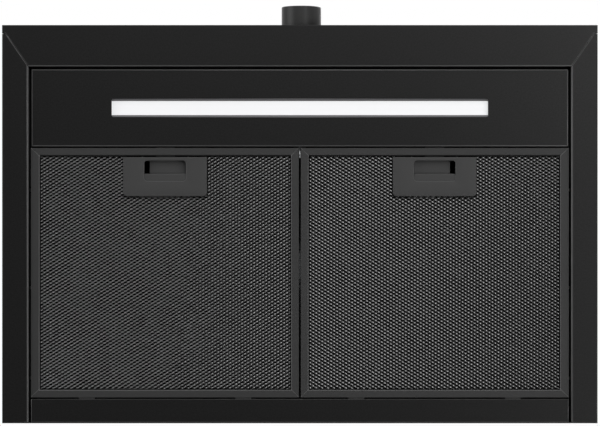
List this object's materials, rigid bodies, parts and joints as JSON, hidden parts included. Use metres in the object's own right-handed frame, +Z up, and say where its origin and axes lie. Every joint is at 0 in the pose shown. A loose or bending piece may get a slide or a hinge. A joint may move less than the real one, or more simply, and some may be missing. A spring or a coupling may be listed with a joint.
{
  "type": "range hood",
  "caption": "Under-cabinet range hood in satin black sheet steel with a mitred rim, light bar, expanded-metal grease filters, front knob and round duct collar.",
  "frame": {"origin": "bottom edge of the back face, middle of the width", "axes": "+X to the right seen from the front, +Y towards the wall, +Z up; the front faces -Y"},
  "size_m": [0.76, 0.534, 0.304],
  "materials": {
    "body_black": "satin",
    "filter_frame": "satin",
    "expanded_mesh": "satin",
    "grease_pad": "matte",
    "handle_grey": "satin",
    "galvanised": "satin",
    "bright_steel": "satin",
    "anodised": "satin",
    "diffuser_white": "matte",
    "black_plastic": "matte",
    "knob_black": "satin",
    "white_plastic": "matte",
    "circuit_board": "satin"
  },
  "bodies": {
    "casing": {"front_panel": "body_black", "left_side_panel": "body_black", "right_side_panel": "body_black", "canopy_panel": "body_black", "back_panel": "body_black", "rear_rail": "body_black", "light_panel": "body_black", "centre_clip": "galvanised", "casing_screws": "galvanised", "light_channel": "anodised", "light_end_caps": "black_plastic", "light_diffuser": "diffuser_white", "light_board": "circuit_board", "light_driver": "white_plastic", "switch_body": "black_plastic", "switch_nut": "galvanised", "control_box": "black_plastic", "scroll_wrapper": "galvanised", "scroll_side_left": "galvanised", "scroll_side_right": "galvanised", "inlet_ring_left": "galvanised", "inlet_ring_right": "galvanised", "motor": "bright_steel", "motor_bracket": "galvanised", "blower_hangers": "galvanised", "capacitor": "anodised", "outlet_transition": "galvanised", "duct_collar": "galvanised", "damper_pin": "bright_steel", "wiring_box": "galvanised", "wiring_box_cover": "galvanised", "terminal_block": "white_plastic", "cable_bush": "black_plastic", "supply_lead": "black_plastic", "switch_lead": "black_plastic", "motor_lead": "black_plastic", "light_leads": "black_plastic"},
    "knob": {"knob": "knob_black", "knob_shaft": "bright_steel"},
    "blower_wheel": {"blower_wheel": "galvanised", "motor_shaft": "bright_steel"},
    "damper_flap_front": {"damper_flap_front": "galvanised"},
    "damper_flap_rear": {"damper_flap_rear": "galvanised"},
    "filter_left": {"filter_frame_left": "filter_frame", "filter_mesh_left": "expanded_mesh", "filter_pad_left": "grease_pad", "filter_back_mesh_left": "expanded_mesh", "handle_plate_left": "handle_grey", "latch_housing_left": "handle_grey", "latch_spring_left": "bright_steel"},
    "filter_right": {"filter_frame_right": "filter_frame", "filter_mesh_right": "expanded_mesh", "filter_pad_right": "grease_pad", "filter_back_mesh_right": "expanded_mesh", "handle_plate_right": "handle_grey", "latch_housing_right": "handle_grey", "latch_spring_right": "bright_steel"},
    "latch_left": {"latch_slider_left": "handle_grey"},
    "latch_right": {"latch_slider_right": "handle_grey"}
  },
  "joints": [
    {"name": "knob_turn", "type": "hinge", "parent": "casing", "child": "knob", "pos_m": [0.002, -0.508, 0.039], "axis": [0, 1, 0], "range_deg": [0, 270]},
    {"name": "wheel_spin", "type": "hinge", "parent": "casing", "child": "blower_wheel", "pos_m": [0, -0.17248, 0.1348], "axis": [1, 0, 0], "continuous": true},
    {"name": "damper_front_lift", "type": "hinge", "parent": "casing", "child": "damper_flap_front", "pos_m": [0, -0.1, 0.27], "axis": [-1, 0, 0], "range_deg": [0, 78]},
    {"name": "damper_rear_lift", "type": "hinge", "parent": "casing", "child": "damper_flap_rear", "pos_m": [0, -0.1, 0.27], "axis": [1, 0, 0], "range_deg": [0, 78]},
    {"name": "filter_left_swing", "type": "hinge", "parent": "casing", "child": "filter_left", "pos_m": [0, -0.0315, 0.0043], "axis": [1, 0, 0], "range_deg": [0, 60]},
    {"name": "latch_left_pull", "type": "slide", "parent": "filter_left", "child": "latch_left", "axis": [0, 1, 0], "range_m": [0, 0.006], "stiffness_N_per_m": 400, "springref_m": -0.003, "deforming": ["latch_spring_left"]},
    {"name": "filter_right_swing", "type": "hinge", "parent": "casing", "child": "filter_right", "pos_m": [0, -0.0315, 0.0043], "axis": [1, 0, 0], "range_deg": [0, 60]},
    {"name": "latch_right_pull", "type": "slide", "parent": "filter_right", "child": "latch_right", "axis": [0, 1, 0], "range_m": [0, 0.006], "stiffness_N_per_m": 400, "springref_m": -0.003, "deforming": ["latch_spring_right"]}
  ]
}
